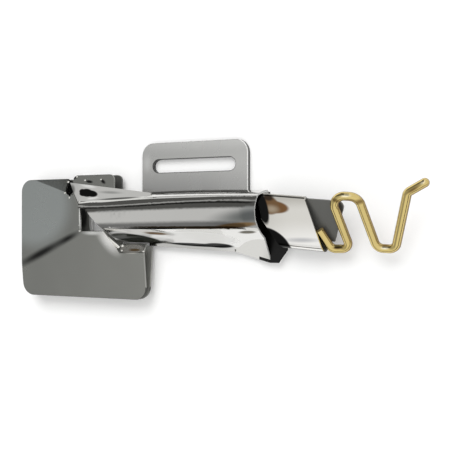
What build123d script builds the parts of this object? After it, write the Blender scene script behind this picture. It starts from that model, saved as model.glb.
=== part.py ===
"""Right-angle bias tape binder: slotted plate, folded scroll, mouth leaves, tape chute and wire guide.

Frame: +Y runs along the scroll towards the tape inlet, +X points to the front (the leaves' outer
edge), +Z up from the machine bed.  The origin is the middle of the screw slot on the bed.
"""
import os
from math import cos, hypot, radians, sin, sqrt, tan

from build123d import *

os.makedirs("parts", exist_ok=True)

# Sheet thicknesses and the gap left for braze
plate_thick = 2.0
scroll_wall = 0.8
leaf_sheet = 0.8
tongue_sheet = 0.8
chute_sheet = 0.6
seat_gap = 0.1

# Mounting plate and its screw slot
plate_length = 42.4
plate_back = 8.6
plate_front = 26.5
plate_corner = 4.8
plate_edge_round = 0.35
slot_length = 33.0
slot_width = 4.8

# Scroll stations along Y: back, crown, shoulder and front of the outer skin, its height and shoulder drop
station_y = (-50.0, -15.0, 8.0, 20.0, 34.0)
station_back_x = (13.0, 10.2, 9.9, 10.0, 10.4)
station_crown_x = (17.8, 17.0, 16.6, 16.6, 17.0)
station_shoulder_x = (24.2, 22.9, 22.9, 23.3, 25.6)
station_front_x = (30.0, 27.9, 28.7, 29.2, 30.0)
station_height = (9.7, 9.3, 9.8, 10.4, 12.6)
shoulder_drop = (2.9, 2.5, 2.7, 2.9, 4.1)
front_lip = 1.6
back_foot = 2.4
back_belly = 0.58
back_hip = 2.0

# Scroll ends: scooped rim, mitred exit and the gap at the back that the bound edge leaves by
rim_y = 29.8
rim_scoop = 1.5
rim_back_x = 8.4
rim_front_x = 25.6
mitre_start = (15.2, -40.5)
mitre_end = (30.9, -27.3)
scroll_left_y = -43.6
exit_gap_end_y = -28.0
exit_gap_x = 16.0

# Front beak and flared trough: the fold line in plan, and the slope of the flange above it
beak_start = (28.95, -17.5)
trough_start = (30.75, 16.6)
trough_rim_x = 34.2
beak_depth = 4.0
flange_run = 9.3
flange_rise = 7.0
trough_lip_front_y = 33.0
trough_lip_back_y = 36.2
trough_lip_corner_x = 29.8

# Ear over the exit gap
ear_back_left = (5.5, -48.4)
ear_left_bend = (9.1, -46.9)
ear_back_right = (9.9, -13.5)
ear_front_x = 17.0
ear_thick = 0.8
ear_top = 8.8

# Mouth leaves: two hipped sheets, mirrored about the middle of the mouth
mouth_mid_z = 5.0
leaf_left_y = -72.2
leaf_right_y = -16.6
leaf_back_x = 4.0
leaf_front_x = 48.5
leaf_corner = 4.6
leaf_peak_z = 9.2
leaf_bend = 30.0
leaf_tilt_left = 2.75
leaf_tilt_front = 6.3
leaf_tilt_back = 10.2
crease_start = (4.4, -64.4)
crease_end = (9.0, -50.6)
window_left_y = -43.4
window_front_x = 23.6
slit_y = -49.8
slit_tip = (9.3, -50.6)
slit_foot = (10.9, -48.6)
ledge_x = 31.4
ledge_reach = 3.3
ledge_drop = 1.9
lap_x = 26.4
lap_reach = 4.0
strip_left_y = -21.0
strip_back_x = (28.7, 29.3)

# Fold tongue: tab behind the ear and stem inside the scroll
tab_back_x = 2.8
tab_left_y = -47.6
tab_right_y = -29.4
tab_corner = 2.0
tongue_end_y = 10.0
tongue_back_x = 15.6
tongue_front_x = 21.6
tongue_set_back = 2.0

# Tape chute in its own tilted plane: u along the tape, v across it from the front, w off the rear sheet
chute_tilt = 28.0
chute_turn = 5.0
chute_origin = (27.2, 40.0, 2.4)
chute_front_v = -0.6
chute_back_v = 17.8
chute_front_roll = 2.6
chute_back_fold = 1.0
inlet_front_u = 10.4
inlet_back_u = 3.8
throat_front_u = -3.6
throat_back = (-13.5, 12.8)
throat_corner_u = -10.6
rear_tongue_back_u = 16.9
rear_tongue_front_u = 12.7
rear_tongue_corner = 2.0

# Wire guide: corners of its line in the chute's plane, with the bend radius at each inner corner
wire_d = 2.8
wire_corners = (
    (8.2, 6.6),
    (11.9, 0.1),
    (18.2, 0.9),
    (12.6, 19.6),
    (21.6, 19.6),
    (26.8, 2.1),
    (32.7, 2.4),
    (36.7, 22.3),
    (41.8, 25.9),
)
wire_bends = (2.3, 2.3, 3.6, 3.6, 2.6, 2.6, 2.4)

# Levels, slopes and lines that the pieces share
leaf_fall_left = tan(radians(leaf_tilt_left))
leaf_fall_front = tan(radians(leaf_tilt_front))
leaf_fall_back = tan(radians(leaf_tilt_back))
bed_top = plate_thick
scroll_floor = bed_top + scroll_wall
tongue_top = ear_top - ear_thick
cut_height = 4 * mouth_mid_z


def mitre_y(x):
    """Place of the scroll's mitred edge at x."""
    share = (x - mitre_start[0]) / (mitre_end[0] - mitre_start[0])
    return mitre_start[1] + share * (mitre_end[1] - mitre_start[1])


def trough_fold_x(y):
    """Place of the trough's front fold line at y."""
    share = (y - trough_start[1]) / (rim_y - trough_start[1])
    return trough_start[0] + share * (trough_rim_x - trough_start[0])


# Mounting plate
with BuildPart() as mounting_plate:
    with BuildSketch():
        with Locations(((plate_front - plate_back) / 2, 0)):
            plate_blank = Rectangle(plate_front + plate_back, plate_length)
        fillet(plate_blank.vertices(), plate_corner)
        SlotOverall(slot_length, slot_width, rotation=90, mode=Mode.SUBTRACT)
    extrude(amount=plate_thick)
    fillet(mounting_plate.faces().sort_by(Axis.Z)[-1].outer_wire().edges(), plate_edge_round)


def scroll_section(i, inset):
    """Outline of the scroll at a station, moved inwards by inset."""
    floor = bed_top + inset
    crown = Vector(station_crown_x[i], bed_top + station_height[i])
    shoulder = Vector(station_shoulder_x[i], crown.Y - shoulder_drop[i])
    roof_radius = (shoulder - crown).length ** 2 / (2 * shoulder_drop[i])
    middle = crown - Vector(0, roof_radius)
    hip_x = station_back_x[i] + back_hip - crown.X
    hip = middle + Vector(hip_x, sqrt(roof_radius**2 - hip_x**2))
    shrink = 1 - inset / roof_radius
    crown = middle + (crown - middle) * shrink
    shoulder = middle + (shoulder - middle) * shrink
    hip = middle + (hip - middle) * shrink
    rise = (hip - middle).normalized()
    belly = Vector(station_back_x[i] + inset, bed_top + station_height[i] * back_belly)
    foot = Vector(belly.X + back_foot, floor)
    lip = Vector(station_front_x[i] - inset * hypot(1, 1), bed_top + front_lip)
    with BuildSketch(Plane.XZ.offset(-station_y[i])) as section:
        with BuildLine():
            Spline(foot, belly, hip, tangents=((-1, 0), (rise.Y, -rise.X)))
            ThreePointArc(hip, crown, shoulder)
            Polyline(shoulder, lip, (lip.X, floor), foot)
        make_face()
    return section.sketch


def trough_section(y, inset):
    """Wedge between the floor and the flared flange at y, moved inwards by inset."""
    slope = flange_run / flange_rise
    floor = bed_top + inset
    tip = trough_fold_x(y) - inset * (slope + hypot(1, slope))
    rise = flange_rise - inset
    top = (tip - rise * slope, floor + rise)
    with BuildSketch(Plane.XZ.offset(-y)) as section:
        with BuildLine():
            Polyline(
                (tip, floor),
                top,
                (top[0] - beak_depth, top[1] - front_lip),
                (top[0] - beak_depth, floor),
                close=True,
            )
        make_face()
    return section.sketch


# Space inside the scroll and its trough
with BuildPart() as scroll_bore:
    loft([scroll_section(i, scroll_wall) for i in range(len(station_y))])
    loft([trough_section(y, scroll_wall) for y in (trough_start[1], station_y[-1])], ruled=True)

# Chute axes
turn = radians(chute_turn)
tilt = radians(chute_tilt)
chute_u = Vector(sin(turn), cos(turn), 0)
chute_v = Vector(-cos(turn) * cos(tilt), sin(turn) * cos(tilt), sin(tilt))
chute_plane = Plane(origin=chute_origin, x_dir=chute_u, z_dir=chute_u.cross(chute_v))
chute_end_plane = Plane(origin=chute_origin, x_dir=chute_v, z_dir=chute_u)


def chute_tube(grow):
    """Flattened tube of the chute, grown outwards by grow, before its ends are cut."""
    with BuildPart() as tube:
        with BuildSketch(chute_end_plane.offset(throat_back[0])):
            with Locations((chute_front_v + chute_front_roll, chute_front_roll)):
                Circle(chute_front_roll + grow)
            with Locations((chute_back_v - chute_back_fold, chute_back_fold)):
                Circle(chute_back_fold + grow)
            make_hull()
        extrude(amount=rear_tongue_back_u - throat_back[0])
    return tube.part


def chute_channel(grow):
    """Block over the folded channel's outline, from its throat to its slanted inlet, grown by grow."""
    with BuildPart() as block:
        with BuildSketch(chute_plane):
            with BuildLine():
                Polyline(
                    (throat_front_u, chute_front_v),
                    (inlet_front_u, chute_front_v),
                    (inlet_back_u, chute_back_v),
                    (throat_corner_u, chute_back_v),
                    throat_back,
                    close=True,
                )
            make_face()
            offset(amount=grow)
        extrude(amount=chute_back_v, both=True)
    return block.part


# Outer scroll
with BuildPart() as outer_scroll:
    loft([scroll_section(i, 0) for i in range(len(station_y))])
    loft([trough_section(y, 0) for y in (trough_start[1], station_y[-1])], ruled=True)
    with BuildSketch(Plane.XY.offset(bed_top)):
        with BuildLine():
            Polyline(
                beak_start,
                trough_start,
                (trough_start[0] - beak_depth, trough_start[1]),
                (beak_start[0] - beak_depth, beak_start[1]),
                close=True,
            )
        make_face()
    extrude(amount=scroll_wall)
    # Mitred exit at the left, scooped rim at the right
    with BuildSketch(Plane.XY):
        with BuildLine():
            Polyline(
                (tab_back_x, scroll_left_y),
                (mitre_start[0], scroll_left_y),
                mitre_start,
                mitre_end,
                (leaf_front_x, mitre_end[1]),
                (leaf_front_x, leaf_left_y),
                (tab_back_x, leaf_left_y),
                close=True,
            )
        make_face()
    extrude(amount=cut_height, mode=Mode.SUBTRACT)
    split(bisect_by=Plane.XZ.offset(-rim_y), keep=Keep.TOP)
    with BuildSketch(Plane.XY.offset(scroll_floor)):
        with BuildLine():
            rim_line = Line((rim_back_x, rim_y), (rim_front_x, rim_y))
            SagittaArc(rim_line @ 0, rim_line @ 1, -rim_scoop)
        make_face()
    extrude(amount=cut_height, mode=Mode.SUBTRACT)
    # Lip of the trough's floor, past the rim
    with BuildSketch(Plane.XY.offset(bed_top)):
        with BuildLine():
            Polyline(
                (trough_fold_x(rim_y - beak_depth), rim_y - beak_depth),
                (trough_rim_x, rim_y),
                (trough_rim_x, trough_lip_front_y),
                (trough_lip_corner_x, trough_lip_back_y),
                (station_crown_x[-1], trough_lip_back_y),
                (station_crown_x[-1], rim_y - beak_depth),
                close=True,
            )
        make_face()
    extrude(amount=scroll_wall)
    # Ear above the exit and tab below it
    with BuildSketch(Plane.XY.offset(tongue_top)):
        with BuildLine():
            Polyline(
                ear_back_left,
                ear_back_right,
                (ear_front_x, ear_back_right[1]),
                (ear_front_x, scroll_left_y),
                (mitre_start[0], scroll_left_y),
                ear_left_bend,
                close=True,
            )
        make_face()
    extrude(amount=ear_thick)
    with BuildSketch(Plane.XY.offset(bed_top)):
        with BuildLine():
            Polyline(
                (tab_back_x, tab_left_y),
                (tab_back_x, tab_right_y),
                (exit_gap_x, tab_right_y),
                (exit_gap_x, mitre_start[1] + tongue_set_back),
                (mitre_start[0], scroll_left_y),
                (ear_left_bend[0], tab_left_y),
                close=True,
            )
        lower_tab = make_face()
        fillet(lower_tab.vertices().sort_by(Axis.X)[:2], tab_corner)
    extrude(amount=scroll_wall)
    add(scroll_bore.part, mode=Mode.SUBTRACT)
    # Gap at the back, between the tab and the ear
    with BuildSketch(Plane.XY.offset(scroll_floor)):
        with BuildLine():
            Polyline(
                (tab_back_x, leaf_left_y),
                (exit_gap_x, leaf_left_y),
                (exit_gap_x, exit_gap_end_y),
                (tab_back_x, exit_gap_end_y),
                close=True,
            )
        make_face()
    extrude(amount=tongue_top - scroll_floor, mode=Mode.SUBTRACT)
    add(chute_tube(seat_gap) & chute_channel(seat_gap), mode=Mode.SUBTRACT)

# Fold tongue
with BuildPart() as fold_tongue:
    with BuildSketch(Plane.XY.offset(tongue_top)):
        with BuildLine():
            Polyline(
                (tab_back_x, tab_left_y),
                (tab_back_x, tab_right_y),
                (tongue_back_x, tab_right_y),
                (tongue_back_x, tongue_end_y),
                (tongue_front_x, tongue_end_y),
                (tongue_front_x, mitre_y(tongue_front_x) + tongue_set_back),
                (mitre_start[0], mitre_start[1] + tongue_set_back),
                (mitre_start[0] - tongue_set_back, scroll_left_y),
                (ear_left_bend[0], tab_left_y),
                close=True,
            )
        upper_tab = make_face()
        fillet(upper_tab.vertices().sort_by(Axis.X)[:2], tab_corner)
    extrude(amount=-tongue_sheet)


def hip(drop):
    """Solid under the hipped surface of the upper leaf, lowered by drop."""
    peak = (window_front_x, window_left_y, leaf_peak_z - drop)
    lean = (crease_end[0] - crease_start[0]) / (crease_end[1] - crease_start[1])
    crease_z = leaf_peak_z - drop + leaf_fall_left * (crease_start[1] - window_left_y)
    with BuildPart() as block:
        with Locations(((leaf_back_x + leaf_front_x) / 2, (leaf_left_y + leaf_right_y) / 2, 0)):
            Box(2 * leaf_front_x, 2 * (leaf_right_y - leaf_left_y), cut_height * 2)
        split(bisect_by=Plane(origin=peak, z_dir=(0, -leaf_fall_left, 1)), keep=Keep.BOTTOM)
        split(bisect_by=Plane(origin=peak, z_dir=(leaf_fall_front, 0, 1)), keep=Keep.BOTTOM)
        fillet(block.edges().sort_by_distance(peak)[0], leaf_bend)
        split(
            bisect_by=Plane(
                origin=(*crease_start, crease_z),
                z_dir=(-leaf_fall_back, -leaf_fall_left + leaf_fall_back * lean, 1),
            ),
            keep=Keep.BOTTOM,
        )
    return block.part


def leaf(mitred_edge):
    """Hipped leaf with the given run of its edge along the scroll's mitre, from the window to the ledge."""
    with BuildPart() as sheet:
        add(hip(0))
        add(hip(leaf_sheet), mode=Mode.SUBTRACT)
        with BuildSketch(Plane.XY):
            with BuildLine():
                Polyline(
                    (leaf_back_x, leaf_left_y),
                    (leaf_back_x, slit_y),
                    slit_tip,
                    slit_foot,
                    (ear_left_bend[0], ear_left_bend[1] - 2 * seat_gap),
                    (mitre_start[0], scroll_left_y - 2 * seat_gap),
                    (window_front_x, window_left_y),
                    *mitred_edge,
                    (ledge_x, leaf_right_y),
                    (leaf_front_x, leaf_right_y),
                    (leaf_front_x, leaf_left_y),
                    close=True,
                )
            blank = make_face()
            fillet(
                [
                    blank.vertices().sort_by_distance((leaf_back_x, leaf_left_y))[0],
                    blank.vertices().sort_by_distance((leaf_front_x, leaf_left_y))[0],
                    blank.vertices().sort_by_distance((leaf_front_x, leaf_right_y))[0],
                ],
                leaf_corner,
            )
        extrude(amount=cut_height, mode=Mode.INTERSECT)
    return sheet.part


# Mouth leaves: the upper one stops at the mitre and turns down at its ledge, the lower one laps under
mitre_window = (window_front_x, mitre_y(window_front_x) - 2 * seat_gap)
mitre_ledge = (ledge_x, mitre_y(ledge_x) - 2 * seat_gap)
ledge_z = leaf_peak_z - leaf_fall_front * (ledge_x - window_front_x)
with BuildPart() as upper_leaf:
    add(leaf((mitre_window, mitre_ledge)))
    with BuildSketch(Plane.XZ.offset(-leaf_right_y)):
        with BuildLine():
            Polyline(
                (ledge_x, ledge_z),
                (ledge_x, ledge_z - leaf_sheet),
                (ledge_x - ledge_reach, ledge_z - ledge_drop - leaf_sheet),
                (ledge_x - ledge_reach, ledge_z - ledge_drop),
                close=True,
            )
        make_face()
    extrude(amount=leaf_right_y - mitre_ledge[1])

with BuildPart() as lower_leaf:
    lap_edge = (
        (window_front_x, mitre_y(window_front_x) + lap_reach),
        (lap_x, mitre_y(lap_x) + lap_reach),
        (lap_x, mitre_y(lap_x) - 2 * seat_gap),
    )
    strip_edge = (
        (ledge_x, strip_left_y),
        (strip_back_x[0], strip_left_y),
        (strip_back_x[1], leaf_right_y),
    )
    add(mirror(leaf((*lap_edge, mitre_ledge, *strip_edge)), about=Plane.XY.offset(mouth_mid_z)))

# Tape chute: the folded channel as far as its slanted inlet, its rear sheet as far as the tongue
with BuildPart() as chute_outline:
    add(chute_channel(0))
    with BuildSketch(chute_plane.offset(chute_sheet)):
        with BuildLine():
            Polyline(
                (throat_front_u, chute_front_v + chute_front_roll),
                (rear_tongue_front_u, chute_front_v + chute_front_roll),
                (rear_tongue_back_u, chute_back_v - chute_back_fold),
                (throat_front_u, chute_back_v - chute_back_fold),
                close=True,
            )
        rear_tongue = make_face()
        fillet(rear_tongue.vertices().sort_by(Axis.X)[-1], rear_tongue_corner)
    extrude(amount=-2 * chute_sheet)

with BuildPart() as tape_chute:
    add(chute_tube(0))
    add(chute_tube(-chute_sheet), mode=Mode.SUBTRACT)
    add(chute_outline.part, mode=Mode.INTERSECT)

# Wire guide
wire_plane = chute_plane.offset(chute_sheet + wire_d / 2 + seat_gap)
with BuildPart() as tape_guide:
    with BuildLine(wire_plane) as wire_line:
        FilletPolyline(*wire_corners, radius=list(wire_bends))
    with BuildSketch(Plane(origin=wire_line.line @ 0, z_dir=wire_line.line % 0)):
        Circle(wire_d / 2)
    sweep()
    with Locations(wire_line.line @ 1):
        Sphere(wire_d / 2)

pieces = {
    "mounting_plate": mounting_plate,
    "outer_scroll": outer_scroll,
    "fold_tongue": fold_tongue,
    "upper_leaf": upper_leaf,
    "lower_leaf": lower_leaf,
    "tape_chute": tape_chute,
    "tape_guide": tape_guide,
}
for name, piece in pieces.items():
    piece.part.label = name
    export_step(piece.part, f"parts/{name}.step")
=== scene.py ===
"""Looks of the right-angle bias tape binder: plated sheets, solder, brass wire guide and the stage."""
from math import cos, radians, sin
from typing import NamedTuple

import bmesh
import bpy
from bpy.props import FloatProperty, FloatVectorProperty, PointerProperty
from mathutils import Matrix, Vector


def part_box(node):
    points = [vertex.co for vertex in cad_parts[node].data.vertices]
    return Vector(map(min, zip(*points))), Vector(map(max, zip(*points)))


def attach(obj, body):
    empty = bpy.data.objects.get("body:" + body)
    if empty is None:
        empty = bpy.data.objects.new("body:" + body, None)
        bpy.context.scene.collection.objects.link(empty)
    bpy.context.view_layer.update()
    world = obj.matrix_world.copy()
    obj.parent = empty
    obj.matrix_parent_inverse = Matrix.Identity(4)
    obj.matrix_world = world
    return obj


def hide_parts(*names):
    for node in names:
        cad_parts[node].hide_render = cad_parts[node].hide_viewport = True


bl_info = {
    "name": "Bias Tape Binder",
    "version": (1, 0, 0),
    "blender": (4, 5, 0),
    "location": "View3D > Sidebar > Binder",
    "description": "Dresses the CAD pieces of a bias tape binder attachment and sets its stage",
    "category": "Object",
}

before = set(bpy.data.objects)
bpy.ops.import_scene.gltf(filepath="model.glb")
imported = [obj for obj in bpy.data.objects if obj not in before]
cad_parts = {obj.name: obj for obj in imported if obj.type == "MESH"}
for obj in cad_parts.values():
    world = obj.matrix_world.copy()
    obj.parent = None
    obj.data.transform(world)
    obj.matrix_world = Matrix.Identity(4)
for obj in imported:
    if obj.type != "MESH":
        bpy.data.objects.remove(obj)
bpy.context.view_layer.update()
BODY = "root"
MM = 0.001
# Corner layer that keeps the CAD normals, reach of the merge, bends of a flat face and of a cut edge
FACING = "cad_facing"
MERGE = 0.002 * MM
FLAT = radians(0.1)
CUT_EDGE = radians(60)
# Grain of a plating: detail and levels of its noise, and tone of its darker spots
GRAIN_DETAIL = 4.0
GRAIN_LOW = 0.3
GRAIN_HIGH = 0.7
GRAIN_TONE = 0.92
# Metallic share that a film of flux leaves
FILM_SHINE = 0.25


class BinderSizes(bpy.types.PropertyGroup):
    """Sizes of the edges that catch the light."""

    plate_edge: FloatProperty(
        name="Plate edge",
        description="Chamfer round the screw slot",
        default=0.3 * MM,
        unit="LENGTH",
    )
    sheet_edge: FloatProperty(
        name="Sheet edge",
        description="Rounding of the cut edges of the sheet pieces",
        default=0.15 * MM,
        unit="LENGTH",
    )
    crease: FloatProperty(
        name="Crease",
        description="Bend above which a rolled surface has a sharp line",
        default=radians(24),
        subtype="ANGLE",
    )
    leaf_crease: FloatProperty(
        name="Leaf crease",
        description="Bend above which a pressed leaf has a sharp line",
        default=radians(6),
        subtype="ANGLE",
    )


class BinderFinishes(bpy.types.PropertyGroup):
    """Colours of the metals."""

    chrome: FloatVectorProperty(
        name="Bright plate",
        description="Polished plating of the scroll and chute",
        default=(0.74, 0.735, 0.72),
        subtype="COLOR",
    )
    dark_plate: FloatVectorProperty(
        name="Dark plate",
        description="Darker plating of the leaves and tongue",
        default=(0.32, 0.322, 0.302),
        subtype="COLOR",
    )
    steel: FloatVectorProperty(
        name="Satin steel",
        description="Satin plating of the slotted plate",
        default=(0.62, 0.62, 0.61),
        subtype="COLOR",
    )
    # Sides of the wire painted dark as shade and dark reflection
    wire_side_shade: FloatVectorProperty(
        name="Patina",
        description="Darker sides of the wire",
        default=(0.17, 0.105, 0.04),
        subtype="COLOR",
    )
    solder: FloatVectorProperty(
        name="Solder",
        description="Beads at the joints",
        default=(0.85, 0.84, 0.80),
        subtype="COLOR",
    )
    worn_edge: FloatVectorProperty(
        name="Worn edge",
        description="Bright rubbed edges of the sheets",
        default=(0.85, 0.85, 0.84),
        subtype="COLOR",
    )
    # Sides of the plate and walls of the slot, painted dark as the shade they reflect
    cut_side_shade: FloatVectorProperty(
        name="Cut steel",
        description="Sheared sides of the slotted plate",
        default=(0.10, 0.10, 0.098),
        subtype="COLOR",
    )
    # Inside of the scroll, painted near black as the shade inside it
    bore: FloatVectorProperty(
        name="Bore",
        description="Dark unplated inside of the scroll",
        default=(0.025, 0.025, 0.025),
        subtype="COLOR",
    )
    brass: FloatVectorProperty(
        name="Brass",
        description="Wire of the tape guide",
        default=(0.73, 0.575, 0.235),
        subtype="COLOR",
    )


class BinderStage(bpy.types.PropertyGroup):
    """Camera, floor and light."""

    aim: FloatVectorProperty(
        name="Aim",
        description="Point of the bed that the camera looks at",
        default=(21.4 * MM, 11.6 * MM, 0.0),
        subtype="TRANSLATION",
    )
    distance: FloatProperty(
        name="Distance",
        description="From the camera to its aim",
        default=264 * MM,
        unit="LENGTH",
    )
    lean: FloatProperty(
        name="Lean",
        description="Angle of the camera from straight down, towards the tape inlet",
        default=radians(25),
        subtype="ANGLE",
    )
    lens: FloatProperty(name="Lens", description="Focal length in millimetres", default=60.0)
    key: FloatProperty(name="Key light", description="Strength of the soft key light", default=1.75)
    floor_glow: FloatProperty(
        name="Floor glow",
        description="Share of the floor's white that shadows leave",
        default=0.08,
        subtype="FACTOR",
    )


# Node helpers
def joined(tree, node, **inputs):
    """Sets a node's inputs by name, from values or from other nodes' sockets."""
    for name, value in inputs.items():
        socket = node.inputs[name.replace("_", " ")]
        if isinstance(value, bpy.types.NodeSocket):
            tree.links.new(value, socket)
        else:
            socket.default_value = value
    return node


def smooth_step(tree, value, low, high):
    """Socket that rises smoothly from 0 to 1 as value goes from low to high."""
    step = tree.nodes.new("ShaderNodeMapRange")
    step.interpolation_type = "SMOOTHSTEP"
    joined(tree, step, Value=value, From_Min=low, From_Max=high)
    return step.outputs["Result"]


def product(tree, first, second):
    """Socket with the product of two sockets or numbers."""
    node = tree.nodes.new("ShaderNodeMath")
    node.operation = "MULTIPLY"
    for socket, value in zip(node.inputs, (first, second)):
        if isinstance(value, bpy.types.NodeSocket):
            tree.links.new(value, socket)
        else:
            socket.default_value = value
    return node.outputs[0]


def blended(tree, share, under, over):
    """Socket with the colour under, covered by over where share is 1."""
    mix = tree.nodes.new("ShaderNodeMix")
    mix.data_type = "RGBA"
    tree.links.new(share, mix.inputs["Factor"])
    for socket, colour in ((mix.inputs[6], under), (mix.inputs[7], over)):
        if isinstance(colour, bpy.types.NodeSocket):
            tree.links.new(colour, socket)
        else:
            socket.default_value = (*colour, 1.0)
    return mix.outputs[2]


class TintPatch(NamedTuple):
    """Tinted spot of a plating, used for marks and for painted light and shade: an ellipsoid in
    millimetres, turned in plan by degrees.

    It fades over the share of its reach that soft gives.
    """

    centre: tuple
    reach: tuple
    turn: float
    soft: float
    tint: tuple


def patch_share(tree, place, patch):
    """Socket that is 1 inside a patch and falls to 0 at its edge."""
    local = tree.nodes.new("ShaderNodeMapping")
    local.vector_type = "TEXTURE"
    joined(
        tree,
        local,
        Vector=place,
        Location=[MM * c for c in patch.centre],
        Rotation=(0.0, 0.0, radians(patch.turn)),
        Scale=[MM * r for r in patch.reach],
    )
    far = tree.nodes.new("ShaderNodeVectorMath")
    far.operation = "LENGTH"
    tree.links.new(local.outputs["Vector"], far.inputs[0])
    return smooth_step(tree, far.outputs["Value"], 1.0, 1.0 - patch.soft)


def metal(
    name,
    colour,
    rough,
    grain_scale,
    grain_depth,
    stretch=(1.0, 1.0, 1.0),
    patches=(),
    haze=(),
    metallic=1.0,
):
    """Plated metal whose tone, roughness and bump follow a stretched noise, under patches of tint
    (marks, and painted light and shade) and films.
    """
    material = bpy.data.materials.new(name)
    material.use_nodes = True
    tree = material.node_tree
    shader = tree.nodes["Principled BSDF"]
    place = tree.nodes.new("ShaderNodeTexCoord").outputs["Object"]
    turned = tree.nodes.new("ShaderNodeMapping")
    joined(tree, turned, Vector=place, Scale=stretch)
    grain = tree.nodes.new("ShaderNodeTexNoise")
    joined(tree, grain, Vector=turned.outputs["Vector"], Scale=grain_scale, Detail=GRAIN_DETAIL)
    polish = tree.nodes.new("ShaderNodeMapRange")
    joined(tree, polish, Value=grain.outputs["Fac"], From_Min=GRAIN_LOW, From_Max=GRAIN_HIGH)
    joined(tree, polish, To_Min=rough[0], To_Max=rough[1])
    bump = tree.nodes.new("ShaderNodeBump")
    joined(tree, bump, Height=grain.outputs["Fac"], Strength=1.0, Distance=grain_depth)
    tint = blended(tree, grain.outputs["Fac"], [GRAIN_TONE * c for c in colour], colour)
    for patch in patches:
        tint = blended(tree, patch_share(tree, place, patch), tint, patch.tint)
    for film in haze:
        clear = tree.nodes.new("ShaderNodeMapRange")
        joined(tree, clear, Value=patch_share(tree, place, film), To_Min=1.0, To_Max=FILM_SHINE)
        metallic = product(tree, clear.outputs["Result"], metallic)
    joined(tree, shader, Base_Color=tint, Metallic=metallic)
    joined(tree, shader, Roughness=polish.outputs["Result"], Normal=bump.outputs["Normal"])
    return material


# Piece helpers
def copied(node):
    """Bmesh copy of a CAD node: its loose triangles are joined, and its corners keep the CAD normals."""
    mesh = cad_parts[node].data
    shape = bmesh.new()
    shape.from_mesh(mesh)
    facing = shape.loops.layers.float_vector.new(FACING)
    corners = iter(mesh.corner_normals)
    for face in shape.faces:
        for loop in face.loops:
            loop[facing] = next(corners).vector
    bmesh.ops.remove_doubles(shape, verts=shape.verts, dist=MERGE)
    return shape


def flattened(shape):
    """Joins the triangles of each flat face of a shape."""
    bmesh.ops.dissolve_limit(shape, angle_limit=FLAT, verts=shape.verts, edges=shape.edges)


def rounded(shape, edges, width):
    """Rounds the given edges of a shape."""
    bmesh.ops.bevel(
        shape,
        geom=edges,
        offset=width,
        offset_type="OFFSET",
        segments=2,
        profile=0.5,
        affect="EDGES",
        clamp_overlap=True,
        material=-1,
    )


def sharp_edges(shape, angle):
    """Edges of a shape that bend by more than angle."""
    return [e for e in shape.edges if e.is_manifold and e.calc_face_angle() > angle]


def finished(shape, name, materials, slot, crease, *nodes):
    """Piece made from a shape, riding on the frame in place of the CAD nodes named."""
    mesh = bpy.data.meshes.new(name)
    shape.to_mesh(mesh)
    shape.free()
    if not mesh.polygons:
        raise RuntimeError(f"{name} came out empty")
    mesh.shade_smooth()
    mesh.set_sharp_from_angle(angle=crease)
    for material in materials:
        mesh.materials.append(material)
    piece = bpy.data.objects.new(name, mesh)
    bpy.context.scene.collection.objects.link(piece)
    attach(piece, BODY)
    if nodes:
        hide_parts(*nodes)
    return piece


def even_facets(piece):
    """Keeps the shading of each broad flat facet of a piece even."""
    even = piece.modifiers.new("even_facets", "WEIGHTED_NORMAL")
    even.keep_sharp = True


def cad_shading(piece):
    """Shades a copy of a CAD node by the normals that its corners kept."""
    corners = piece.data.attributes[FACING].data
    piece.data.normals_split_custom_set([tuple(corner.vector) for corner in corners])


class BINDER_OT_plate(bpy.types.Operator):
    """Satin plate with its screw slot"""

    bl_idname = "binder.plate"
    bl_label = "Slotted plate"

    # Painted shade towards the front of the satin face, and painted highlights towards the back and
    # beside the slot
    PATCHES = (
        TintPatch((10.0, -6.0, 2.0), (12.0, 70.0, 60.0), 0.0, 1.0, (0.40, 0.40, 0.395)),
        TintPatch((-9.5, 0.0, 2.0), (6.0, 70.0, 60.0), 0.0, 1.0, (0.76, 0.76, 0.75)),
        TintPatch((-1.5, -19.0, 2.0), (5.0, 2.5, 2.0), 0.0, 1.0, (0.74, 0.74, 0.73)),
    )
    # Rise of the normal above which a face is satin and below which it is cut, and room of the slot
    SATIN_RISE = 0.95
    CUT_RISE = 0.3
    SLOT_ROOM_X = 3.0
    SLOT_ROOM_Y = 17.2

    def execute(self, context):
        sizes = context.scene.binder_sizes
        shape = copied("mounting_plate")
        flattened(shape)
        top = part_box("mounting_plate")[1].z
        edges = sharp_edges(shape, CUT_EDGE)
        rim = [e for e in edges if min(v.co.z for v in e.verts) > top - MERGE]
        rounded(shape, rim, sizes.plate_edge)
        for face in shape.faces:
            face.material_index = self.coat_of(face)
        finishes = context.scene.binder_finishes
        steel = metal(
            "satin_steel",
            finishes.steel,
            rough=(0.24, 0.30),
            grain_scale=160.0,
            grain_depth=0.004 * MM,
            stretch=(0.3, 1.0, 1.0),
            patches=self.PATCHES,
        )
        # Cut sides and slot walls painted dark as shade
        cut = metal(
            "cut_side_shade",
            finishes.cut_side_shade,
            rough=(0.35, 0.5),
            grain_scale=900.0,
            grain_depth=0.01 * MM,
        )
        worn = metal(
            "rubbed_steel",
            finishes.worn_edge,
            rough=(0.25, 0.35),
            grain_scale=500.0,
            grain_depth=0.005 * MM,
            metallic=0.5,
        )
        coats = [steel, cut, worn]
        plate = finished(shape, "slotted_plate", coats, "satin_steel", sizes.crease, "mounting_plate")
        even_facets(plate)
        return {"FINISHED"}

    def coat_of(self, face):
        """Index of a face's coat: satin faces, cut sides and slot (painted dark as shade), rubbed outer
        edge.
        """
        rise = abs(face.normal.z)
        if rise > self.SATIN_RISE:
            return 0
        centre = face.calc_center_median() / MM
        in_slot = abs(centre.x) < self.SLOT_ROOM_X and abs(centre.y) < self.SLOT_ROOM_Y
        return 1 if rise < self.CUT_RISE or in_slot else 2


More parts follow.
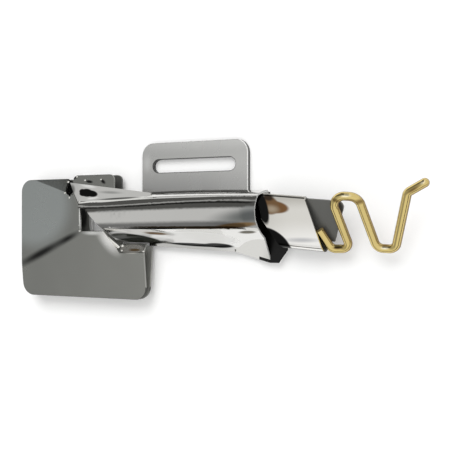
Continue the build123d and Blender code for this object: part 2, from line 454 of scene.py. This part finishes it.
class BINDER_OT_scroll(bpy.types.Operator):
    """Polished scroll with its ear and trough"""

    bl_idname = "binder.scroll"
    bl_label = "Scroll"

    # Films of flux that hide the reflections: front wall by the inlet and by the ledge, and lower tab,
    # whose film is also painted dark as shade under the tongue
    INLET_FILM = TintPatch((25.9, 3.0, 5.8), (3.3, 18.0, 5.0), -2.0, 0.2, (0.77, 0.765, 0.75))
    LEDGE_FILM = TintPatch((25.2, -20.0, 6.2), (3.4, 14.0, 5.0), 0.0, 0.2, (0.82, 0.815, 0.80))
    TAB_SHADE_FILM = TintPatch((5.0, -31.0, 2.8), (6.0, 3.0, 1.5), 0.0, 0.2, (0.09, 0.09, 0.085))
    # Painted light and shade: highlights and dark reflections on the ear, dark reflection along the fold
    # line, shade on the lower tab and in the groove along the beak, films and dark and brown reflections
    # on the front wall, dark and brown reflections and shade towards the mouth
    PATCHES = (
        # Ear: painted dark reflections and painted highlights
        TintPatch((8.2, -47.6, 8.8), (2.6, 1.9, 1.2), 0.0, 0.6, (0.28, 0.28, 0.27)),
        TintPatch((9.5, -30.5, 8.8), (0.8, 7.0, 1.2), -3.0, 0.9, (0.42, 0.42, 0.41)),
        TintPatch((7.0, -40.2, 8.8), (0.8, 4.6, 1.2), -9.0, 0.7, (0.98, 0.98, 0.97)),
        TintPatch((11.5, -38.2, 8.8), (0.5, 3.4, 1.2), 6.0, 0.6, (0.98, 0.98, 0.97)),
        TintPatch((8.9, -42.9, 8.8), (1.05, 1.5, 1.2), 0.0, 0.25, (0.01, 0.01, 0.01)),
        TintPatch((9.7, -42.5, 8.8), (1.1, 1.9, 1.2), 0.0, 0.25, (0.01, 0.01, 0.01)),
        TintPatch((9.45, -40.9, 8.8), (1.65, 3.0, 1.2), -5.0, 0.2, (0.01, 0.01, 0.01)),
        TintPatch((9.8, -38.7, 8.8), (1.35, 3.0, 1.2), -8.0, 0.25, (0.01, 0.01, 0.01)),
        # Painted dark reflection along the fold line
        TintPatch((11.8, -27.0, 9.0), (0.5, 12.0, 1.2), 2.0, 0.6, (0.12, 0.12, 0.115)),
        TAB_SHADE_FILM,
        INLET_FILM,
        # Painted shade in the groove along the beak
        TintPatch((28.4, 3.0, 3.4), (0.75, 15.0, 2.0), -2.2, 0.3, (0.006, 0.006, 0.006)),
        TintPatch((28.5, 11.0, 3.6), (1.1, 6.5, 2.2), -2.2, 0.3, (0.006, 0.006, 0.006)),
        LEDGE_FILM,
        # Painted dark reflections on the front wall and along the shoulder, and a painted brown
        # reflection
        TintPatch((26.4, -22.0, 5.0), (2.0, 12.0, 5.0), -7.6, 0.2, (0.035, 0.037, 0.03)),
        TintPatch((22.65, -13.0, 9.2), (0.4, 17.0, 2.0), 0.0, 0.5, (0.015, 0.015, 0.012)),
        TintPatch((24.4, -12.2, 7.2), (0.7, 6.6, 3.0), -3.0, 0.6, (0.17, 0.11, 0.06)),
        # Towards the mouth: painted dark reflection on the flank, painted brown reflections, and painted
        # shade by the rim
        TintPatch((18.4, 27.0, 12.5), (4.2, 21.0, 60.0), 6.0, 0.85, (0.20, 0.21, 0.207)),
        TintPatch((22.5, 7.0, 9.2), (0.4, 11.0, 60.0), 0.0, 0.6, (0.30, 0.19, 0.09)),
        TintPatch((21.5, 21.0, 11.5), (1.1, 10.5, 60.0), 4.0, 0.5, (0.36, 0.23, 0.11)),
        TintPatch((23.8, 24.3, 9.8), (0.7, 4.8, 2.2), 3.0, 0.5, (0.14, 0.13, 0.11)),
    )
    HAZE = (INLET_FILM, LEDGE_FILM, TAB_SHADE_FILM)
    # Where the rim, the bore and the beak's top face are, by place in millimetres and by normal
    RIM_START_Y = 20.0
    RIM_FACING = 0.6
    AXIS_X = 17.5
    AXIS_Z = 6.5
    BACK_X = 10.2
    END_FACING = 0.7
    BEAK_BACK_X = 27.9
    BEAK_END_Y = 17.0
    BEAK_RISE = 0.9

    def execute(self, context):
        sizes = context.scene.binder_sizes
        finishes = context.scene.binder_finishes
        shape = copied("outer_scroll")
        for face in shape.faces:
            face.material_index = 2 if self.is_rim(face) else int(self.is_inside(face))
        chrome = metal(
            "bright_plate",
            finishes.chrome,
            rough=(0.03, 0.05),
            grain_scale=60.0,
            grain_depth=0.0005 * MM,
            patches=self.PATCHES,
            haze=self.HAZE,
        )
        # The bore and the floor that leads out of it are painted near black as shade
        bore = metal(
            "bore",
            finishes.bore,
            rough=(0.35, 0.5),
            grain_scale=300.0,
            grain_depth=0.01 * MM,
        )
        worn = metal(
            "worn_edge",
            finishes.worn_edge,
            rough=(0.3, 0.4),
            grain_scale=300.0,
            grain_depth=0.005 * MM,
            metallic=0.2,
        )
        coats = [chrome, bore, worn]
        skin = finished(shape, "scroll_skin", coats, "bright_plate", sizes.crease, "outer_scroll")
        cad_shading(skin)
        return {"FINISHED"}

    def is_rim(self, face):
        """True for a face of the sheet's edge round the wide mouth."""
        start = self.RIM_START_Y * MM
        return face.normal.y > self.RIM_FACING and face.calc_center_median().y > start

    def is_inside(self, face):
        """True for a face of the bore or of the floor that leads out of it; these are painted near black
        as shade.
        """
        centre = face.calc_center_median() / MM
        axis = Vector((self.AXIS_X, centre.y, self.AXIS_Z))
        by_beak = centre.x > self.BEAK_BACK_X and centre.y < self.BEAK_END_Y
        on_beak = by_beak and face.normal.z > self.BEAK_RISE
        outside = centre.x < self.BACK_X or abs(face.normal.y) > self.END_FACING or on_beak
        return face.normal.dot(axis - centre) > 0.0 and not outside


class BINDER_OT_leaves(bpy.types.Operator):
    """Two hipped mouth leaves and the fold tongue between them"""

    bl_idname = "binder.leaves"
    bl_label = "Mouth leaves and tongue"

    # Upper leaf: paler side facet and dark hip as painted reflections, painted highlights along the
    # mitre, the ledge and the window edge, and a painted brown reflection on the ledge
    # Lower leaf: painted shade in the slit and in the window between the leaves, and painted light along
    # the window's edge. Tongue: its darker tone and spots of flux
    PATCHES = {
        "upper_leaf": (
            TintPatch((14.0, -66.0, 8.3), (19.0, 21.0, 60.0), 0.0, 0.4, (0.46, 0.482, 0.472)),
            TintPatch((32.2, -62.5, 8.3), (20.0, 2.4, 60.0), -66.0, 0.9, (0.03, 0.03, 0.029)),
            TintPatch((26.5, -49.6, 8.8), (9.0, 1.9, 60.0), -66.0, 1.0, (0.03, 0.03, 0.029)),
            TintPatch((26.8, -31.5, 8.8), (9.0, 4.2, 60.0), 40.0, 0.95, (0.98, 0.97, 0.95)),
            TintPatch((24.3, -38.0, 9.0), (1.2, 6.0, 60.0), 0.0, 0.9, (0.80, 0.80, 0.78)),
            TintPatch((18.0, -43.6, 9.1), (6.5, 0.8, 60.0), 0.0, 0.7, (0.98, 0.98, 0.95)),
            TintPatch((30.0, -22.0, 7.6), (2.0, 6.0, 3.0), 0.0, 0.3, (0.85, 0.83, 0.78)),
            TintPatch((30.4, -20.8, 7.8), (0.6, 3.2, 3.0), 0.0, 0.6, (0.38, 0.25, 0.12)),
        ),
        "lower_leaf": (
            TintPatch((8.2, -53.0, 2.2), (5.0, 3.5, 4.0), 0.0, 0.3, (0.005, 0.005, 0.005)),
            TintPatch((18.5, -47.6, 1.8), (6.0, 2.6, 3.0), 0.0, 0.6, (0.05, 0.05, 0.048)),
            TintPatch((19.0, -43.9, 1.8), (5.5, 1.1, 3.0), 0.0, 0.2, (1.0, 1.0, 0.99)),
        ),
        "fold_tongue": (
            TintPatch((20.0, -20.0, 8.0), (60.0, 60.0, 60.0), 0.0, 0.1, (0.265, 0.267, 0.25)),
            TintPatch((3.6, -46.9, 8.0), (0.8, 1.6, 2.0), 20.0, 0.6, (0.01, 0.01, 0.01)),
            TintPatch((5.3, -40.3, 8.0), (0.7, 2.1, 2.0), -8.0, 0.6, (0.02, 0.02, 0.02)),
            TintPatch((5.4, -34.2, 8.0), (0.9, 1.7, 2.0), -35.0, 0.7, (0.02, 0.02, 0.02)),
        ),
    }
    # Metallic share of each piece, tone of its darker outer edge, and where the outer border of the
    # leaves is
    SHINE = {"upper_leaf": 1.0, "lower_leaf": 0.3, "fold_tongue": 1.0}
    BORDER_TONE = 0.2
    BORDER_RISE = 0.93
    BORDER_LEFT_Y = -50.0
    BORDER_FRONT_X = 40.0

    def execute(self, context):
        sizes = context.scene.binder_sizes
        colour = context.scene.binder_finishes.dark_plate
        for node, patches in self.PATCHES.items():
            shape = copied(node)
            flattened(shape)
            rounded(shape, sharp_edges(shape, CUT_EDGE), sizes.sheet_edge)
            plating = metal(
                f"dark_plate_{node}",
                colour,
                rough=(0.22, 0.28),
                grain_scale=90.0,
                grain_depth=0.0003 * MM,
                patches=patches,
                metallic=self.SHINE[node],
            )
            border_coat = metal(
                f"dark_border_{node}",
                [self.BORDER_TONE * c for c in colour],
                rough=(0.35, 0.5),
                grain_scale=600.0,
                grain_depth=0.002 * MM,
            )
            for face in shape.faces:
                face.material_index = int(self.is_border(face))
            name = f"{node}_sheet"
            coats = [plating, border_coat]
            sheet = finished(shape, name, coats, "dark_plate", sizes.leaf_crease, node)
            even_facets(sheet)
        return {"FINISHED"}

    def is_border(self, face):
        """True for a face of the cut edge round the outside of a leaf."""
        centre = face.calc_center_median() / MM
        outer = centre.y < self.BORDER_LEFT_Y or centre.x > self.BORDER_FRONT_X
        return abs(face.normal.z) < self.BORDER_RISE and outer


class BINDER_OT_chute(bpy.types.Operator):
    """Folded tape chute"""

    bl_idname = "binder.chute"
    bl_label = "Tape chute"

    # Tones of the sheet, lighter towards the front and darker towards the back, then painted brown
    # reflections and painted shade where it leaves the scroll
    PATCHES = (
        TintPatch((20.0, 50.0, 8.5), (60.0, 60.0, 60.0), 0.0, 0.1, (0.66, 0.645, 0.61)),
        TintPatch((27.0, 48.0, 5.0), (8.0, 40.0, 60.0), 0.0, 1.0, (0.84, 0.83, 0.81)),
        TintPatch((12.0, 45.0, 11.0), (5.0, 40.0, 60.0), 0.0, 1.0, (0.46, 0.445, 0.41)),
        TintPatch((26.3, 43.0, 8.5), (1.2, 9.0, 60.0), 0.0, 0.9, (0.52, 0.52, 0.53)),
        # Painted brown reflections
        TintPatch((15.5, 34.2, 11.3), (2.3, 6.0, 60.0), -7.0, 0.25, (0.17, 0.09, 0.04)),
        TintPatch((15.0, 32.9, 11.3), (3.3, 3.8, 60.0), -20.0, 0.25, (0.17, 0.10, 0.05)),
        TintPatch((16.2, 33.5, 11.3), (2.0, 3.8, 60.0), -6.0, 0.9, (0.37, 0.30, 0.22)),
        # Painted shade where the sheet goes into the scroll and under it
        TintPatch((12.4, 32.7, 11.6), (1.5, 2.6, 60.0), -10.0, 0.6, (0.04, 0.028, 0.02)),
        TintPatch((26.8, 33.0, 8.3), (3.8, 7.0, 60.0), -33.6, 0.12, (0.008, 0.008, 0.008)),
        TintPatch((15.5, 30.2, 11.3), (6.5, 2.3, 60.0), 10.0, 0.25, (0.01, 0.01, 0.01)),
    )
    # Plane over the rear tongue: a point in millimetres and its fall to the front; tone of the tongue
    # and underside, darkened as painted shade
    TONGUE_X = 13.3
    TONGUE_Z = 10.9
    TONGUE_FALL = 0.268
    TONGUE_SHADE_TONE = 0.5

    def execute(self, context):
        sizes = context.scene.binder_sizes
        finishes = context.scene.binder_finishes
        shape = copied("tape_chute")
        for face in shape.faces:
            face.material_index = int(self.is_tongue(face))
        # Darker, duller copy of the plating for the rear tongue and underside, as painted shade
        satin = metal(
            "tongue_shade_plate",
            [self.TONGUE_SHADE_TONE * c for c in finishes.dark_plate],
            rough=(0.4, 0.5),
            grain_scale=200.0,
            grain_depth=0.002 * MM,
            metallic=0.6,
        )
        chrome = metal(
            "bright_plate_chute",
            finishes.chrome,
            rough=(0.03, 0.05),
            grain_scale=60.0,
            grain_depth=0.001 * MM,
            patches=self.PATCHES,
        )
        coats = [chrome, satin]
        sheet = finished(shape, "tape_chute_sheet", coats, "bright_plate", sizes.crease, "tape_chute")
        cad_shading(sheet)
        return {"FINISHED"}

    def is_tongue(self, face):
        """True for a face of the rear tongue and of the sheet's underside, which get a darker, duller
        plating as painted shade.
        """
        centre = face.calc_center_median() / MM
        return centre.z < self.TONGUE_Z - self.TONGUE_FALL * (centre.x - self.TONGUE_X)


class BINDER_OT_beads(bpy.types.Operator):
    """Beads of solder at the corners of the joints"""

    bl_idname = "binder.beads"
    bl_label = "Solder beads"

    # Place and radius of each bead in millimetres
    BEADS = (
        (5.2, -49.9, 8.0, 0.45),
        (9.3, -50.9, 8.7, 0.4),
        (11.2, -48.7, 8.9, 0.35),
        (12.7, -44.3, 8.7, 0.4),
        (23.6, -43.9, 9.0, 0.4),
        (14.6, -44.6, 8.95, 0.25),
        (16.4, -44.5, 9.0, 0.2),
        (21.5, -44.2, 9.05, 0.22),
        (29.0, -26.6, 6.9, 0.6),
        (30.7, -26.3, 7.8, 0.4),
        (30.9, -17.1, 7.9, 0.45),
        (4.7, -42.3, 7.9, 0.4),
        (4.6, -35.2, 7.9, 0.35),
        (3.3, -46.0, 7.9, 0.4),
        (12.7, 44.3, 11.5, 0.5),
    )
    # Run of solder along the mitre: first and last bead, and how many
    RUN = ((25.2, -33.2, 8.4, 0.5), (29.4, -28.3, 7.2, 0.75), 12)
    # Stretch of a bead along its three axes
    FORM = Matrix.Diagonal((1.0, 1.2, 0.7, 1.0))

    def execute(self, context):
        shape = bmesh.new()
        first, last, count = self.RUN
        shares = [step / (count - 1) for step in range(count)]
        run = [[a + share * (b - a) for a, b in zip(first, last)] for share in shares]
        for x, y, z, radius in (*self.BEADS, *run):
            spot = Matrix.Translation(MM * Vector((x, y, z))) @ self.FORM
            bmesh.ops.create_icosphere(shape, subdivisions=3, radius=radius * MM, matrix=spot)
        tin = metal(
            "solder",
            context.scene.binder_finishes.solder,
            rough=(0.08, 0.16),
            grain_scale=400.0,
            grain_depth=0.01 * MM,
        )
        finished(shape, "solder_beads", [tin], "bright_plate", context.scene.binder_sizes.crease)
        return {"FINISHED"}


class BINDER_OT_guide(bpy.types.Operator):
    """Bent brass wire that guides the tape"""

    bl_idname = "binder.guide"
    bl_label = "Wire guide"

    # Painted dark reflections and painted highlights at the bends
    PATCHES = (
        TintPatch((13.8, 55.9, 13.5), (1.0, 2.6, 60.0), -20.0, 0.9, (0.25, 0.17, 0.06)),
        TintPatch((14.3, 63.5, 13.5), (1.2, 2.4, 60.0), 15.0, 0.9, (0.25, 0.17, 0.06)),
        TintPatch((13.9, 59.7, 13.5), (0.7, 4.0, 60.0), 0.0, 0.9, (0.30, 0.20, 0.07)),
        TintPatch((12.4, 59.3, 13.5), (0.7, 2.4, 60.0), 0.0, 0.9, (1.0, 0.92, 0.66)),
        TintPatch((11.1, 80.1, 16.5), (0.7, 3.6, 60.0), 28.0, 0.9, (0.25, 0.16, 0.055)),
        TintPatch((9.0, 83.1, 16.5), (0.8, 1.2, 60.0), 28.0, 0.9, (1.0, 0.90, 0.62)),
        TintPatch((27.8, 69.6, 5.5), (0.6, 2.6, 60.0), 0.0, 0.9, (0.22, 0.13, 0.04)),
        TintPatch((28.6, 69.6, 5.5), (0.6, 1.8, 60.0), 0.0, 0.9, (1.0, 0.95, 0.75)),
        TintPatch((28.8, 54.2, 5.5), (0.7, 2.4, 60.0), 0.0, 0.9, (0.16, 0.095, 0.03)),
    )
    # Rise of the normal up to which the sides are painted dark as shade and from which they are not;
    # shine and gloss of that painted shade
    SIDE_SHADE_RISE = 0.2
    UNSHADED_RISE = 0.68
    SIDE_SHADE_SHINE = 0.15
    SIDE_SHADE_GLOSS = 0.1

    def execute(self, context):
        sizes = context.scene.binder_sizes
        shape = copied("tape_guide")
        finishes = context.scene.binder_finishes
        brass = metal(
            "brass",
            finishes.brass,
            rough=(0.10, 0.16),
            grain_scale=300.0,
            grain_depth=0.001 * MM,
            patches=self.PATCHES,
        )
        tree = brass.node_tree
        shader = tree.nodes["Principled BSDF"]
        # The sides of the wire, by their normals, are painted dark brown and dull as shade and dark
        # reflection
        facing = tree.nodes.new("ShaderNodeSeparateXYZ")
        tree.links.new(tree.nodes.new("ShaderNodeTexCoord").outputs["Normal"], facing.inputs[0])
        bright = shader.inputs["Base Color"].links[0].from_socket
        unshaded = smooth_step(tree, facing.outputs["Z"], self.SIDE_SHADE_RISE, self.UNSHADED_RISE)
        shine = tree.nodes.new("ShaderNodeMapRange")
        joined(tree, shine, Value=unshaded, To_Min=self.SIDE_SHADE_SHINE, To_Max=1.0)
        joined(tree, shader, Base_Color=blended(tree, unshaded, finishes.wire_side_shade, bright))
        joined(tree, shader, Metallic=shine.outputs["Result"], Specular_IOR_Level=self.SIDE_SHADE_GLOSS)
        wire = finished(shape, "wire_guide", [brass], "brass_wire", sizes.crease, "tape_guide")
        cad_shading(wire)
        return {"FINISHED"}


class Card(NamedTuple):
    """Tone of a part of the studio room, inside soft limits on the axes of the sight line.

    Each limit is an axis, the value where the card starts and the value from which it is full.
    """

    limits: tuple
    tone: tuple


class BINDER_OT_stage(bpy.types.Operator):
    """White floor, studio surroundings, key light and camera"""

    bl_idname = "binder.stage"
    bl_label = "Stage"

    # Half of the floor's side in metres, and its paint
    FLOOR_HALF = 4.0
    FLOOR_WHITE = (0.9, 0.9, 0.9, 1.0)
    # Room: its back wall, and the limits of the soft box overhead
    BACK_WALL = (0.10, 0.10, 0.095)
    BOX_LIMITS = (
        ("X", -0.31, -0.09),
        ("X", 0.76, 0.54),
        ("Y", -0.62, -0.58),
        ("Y", 0.62, 0.58),
        ("Z", 0.30, 0.45),
    )
    # Laid over the back wall in turn: front half, strips and gap at the back, card beyond the leaves,
    # bright walls on the inlet's side, soft box and its glare, dark edge in front, low card and skirting
    CARDS = (
        Card((("X", -0.30, -0.05),), (0.20, 0.20, 0.20)),
        Card((("Z", 0.50, 0.54), ("Z", 0.60, 0.56), ("X", -0.5, -0.6)), (0.45, 0.45, 0.44)),
        Card((("Z", 0.60, 0.64), ("Z", 0.70, 0.66), ("X", -0.4, -0.5)), (0.01, 0.01, 0.01)),
        Card((("Z", 0.08, 0.12), ("Z", 0.24, 0.20), ("X", -0.6, -0.75)), (0.75, 0.75, 0.74)),
        Card((("Y", -0.57, -0.62), ("X", -0.35, -0.15)), (0.50, 0.51, 0.51)),
        Card((("Y", -0.43, -0.40), ("X", 0.5, 0.6), ("Z", 0.15, 0.25)), (0.90, 0.90, 0.89)),
        Card((("Y", -0.3, -0.1), ("Z", 0.1, 0.2)), (0.95, 0.95, 0.94)),
        Card(BOX_LIMITS, (0.67, 0.67, 0.66)),
        Card((*BOX_LIMITS, ("Y", -0.46, -0.38)), (1.0, 1.0, 0.99)),
        Card(
            (("Z", 0.01, 0.05), ("Z", 0.26, 0.22), ("X", 0.2, 0.4), ("Y", -0.56, -0.53)),
            (0.03, 0.024, 0.016),
        ),
        Card((("Y", -0.55, -0.58), ("Z", 0.22, 0.16)), (0.95, 0.95, 0.93)),
        Card((("Z", 0.045, 0.03),), (0.95, 0.95, 0.93)),
    )
    # Key light's spread and direction, width of the camera's sensor in millimetres, nearest sight
    KEY_SPREAD = radians(48)
    KEY_DIRECTION = Vector((0.95, 0.1, -1.0))
    SENSOR = 36.0
    NEAR = 10 * MM

    def execute(self, context):
        settings = context.scene.binder_stage
        context.scene.view_settings.view_transform = "Standard"
        self.add_floor(settings)
        self.add_surroundings(context.scene)
        self.add_key(settings)
        self.add_camera(context.scene, settings)
        return {"FINISHED"}

    def add_floor(self, settings):
        """White floor whose glow keeps its shadows soft."""
        shape = bmesh.new()
        bmesh.ops.create_grid(shape, x_segments=1, y_segments=1, size=self.FLOOR_HALF)
        mesh = bpy.data.meshes.new("floor")
        shape.to_mesh(mesh)
        shape.free()
        floor = bpy.data.objects.new("floor", mesh)
        bpy.context.scene.collection.objects.link(floor)
        white = bpy.data.materials.new("floor_white")
        white.use_nodes = True
        tree = white.node_tree
        tree.nodes.remove(tree.nodes["Principled BSDF"])
        paint = tree.nodes.new("ShaderNodeBsdfDiffuse")
        joined(tree, paint, Color=self.FLOOR_WHITE)
        path = tree.nodes.new("ShaderNodeLightPath")
        seen = tree.nodes.new("ShaderNodeMath")
        seen.operation = "MAXIMUM"
        tree.links.new(path.outputs["Is Camera Ray"], seen.inputs[0])
        tree.links.new(path.outputs["Is Glossy Ray"], seen.inputs[1])
        glow = tree.nodes.new("ShaderNodeEmission")
        joined(tree, glow, Strength=product(tree, seen.outputs[0], settings.floor_glow))
        total = tree.nodes.new("ShaderNodeAddShader")
        tree.links.new(paint.outputs[0], total.inputs[0])
        tree.links.new(glow.outputs[0], total.inputs[1])
        tree.links.new(total.outputs[0], tree.nodes["Material Output"].inputs["Surface"])
        mesh.materials.append(white)

    def add_surroundings(self, scene):
        """Grey room with a broad soft box overhead, seen in the plating; white to the camera."""
        world = bpy.data.worlds.new("studio")
        scene.world = world
        world.use_nodes = True
        tree = world.node_tree
        sight = tree.nodes.new("ShaderNodeTexCoord")
        axes = tree.nodes.new("ShaderNodeSeparateXYZ")
        tree.links.new(sight.outputs["Generated"], axes.inputs[0])
        room = self.BACK_WALL
        for card in self.CARDS:
            share = None
            for axis, begin, full in card.limits:
                step = smooth_step(tree, axes.outputs[axis], begin, full)
                share = step if share is None else product(tree, share, step)
            room = blended(tree, share, room, card.tone)
        path = tree.nodes.new("ShaderNodeLightPath")
        shown = blended(tree, path.outputs["Is Camera Ray"], room, (1.0, 1.0, 1.0))
        joined(tree, tree.nodes["Background"], Color=shown, Strength=1.0)

    def add_key(self, settings):
        """Wide sun whose shadows fall to the front and towards the inlet."""
        lamp = bpy.data.lights.new("key", "SUN")
        lamp.energy = settings.key
        lamp.angle = self.KEY_SPREAD
        key = bpy.data.objects.new("key", lamp)
        key.rotation_mode = "QUATERNION"
        key.rotation_quaternion = self.KEY_DIRECTION.to_track_quat("-Z", "Y")
        key.visible_glossy = False
        bpy.context.scene.collection.objects.link(key)

    def add_camera(self, scene, settings):
        """Camera looking down from the inlet's side, with the front edge at the bottom."""
        lean = settings.lean
        right = Vector((0.0, cos(lean), -sin(lean)))
        up = Vector((-1.0, 0.0, 0.0))
        back = right.cross(up)
        data = bpy.data.cameras.new("camera")
        data.sensor_width = self.SENSOR
        data.lens = settings.lens
        data.clip_start = self.NEAR
        camera = bpy.data.objects.new("camera", data)
        place = Matrix((right, up, back)).transposed().to_4x4()
        place.translation = Vector(settings.aim) + back * settings.distance
        camera.matrix_world = place
        scene.collection.objects.link(camera)
        scene.camera = camera


class BINDER_PT_panel(bpy.types.Panel):
    """Lists the binder's pieces and its stage"""

    bl_idname = "BINDER_PT_panel"
    bl_label = "Bias tape binder"
    bl_space_type = "VIEW_3D"
    bl_region_type = "UI"
    bl_category = "Binder"

    def draw(self, context):
        for operator in OPERATORS:
            self.layout.operator(operator.bl_idname)
        for name, group in GROUPS.items():
            for setting in group.__annotations__:
                self.layout.prop(getattr(context.scene, name), setting)


GROUPS = {
    "binder_sizes": BinderSizes,
    "binder_finishes": BinderFinishes,
    "binder_stage": BinderStage,
}
OPERATORS = (
    BINDER_OT_plate,
    BINDER_OT_scroll,
    BINDER_OT_leaves,
    BINDER_OT_chute,
    BINDER_OT_beads,
    BINDER_OT_guide,
    BINDER_OT_stage,
)


def register():
    for name, group in GROUPS.items():
        bpy.utils.register_class(group)
        setattr(bpy.types.Scene, name, PointerProperty(type=group))
    for cls in (*OPERATORS, BINDER_PT_panel):
        bpy.utils.register_class(cls)


def unregister():
    for cls in (BINDER_PT_panel, *reversed(OPERATORS)):
        bpy.utils.unregister_class(cls)
    for name, group in GROUPS.items():
        delattr(bpy.types.Scene, name)
        bpy.utils.unregister_class(group)


def main():
    """Registers the binder's classes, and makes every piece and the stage."""
    register()
    bpy.ops.binder.plate()
    bpy.ops.binder.scroll()
    bpy.ops.binder.leaves()
    bpy.ops.binder.chute()
    bpy.ops.binder.beads()
    bpy.ops.binder.guide()
    bpy.ops.binder.stage()


if __name__ == "__main__":
    main()
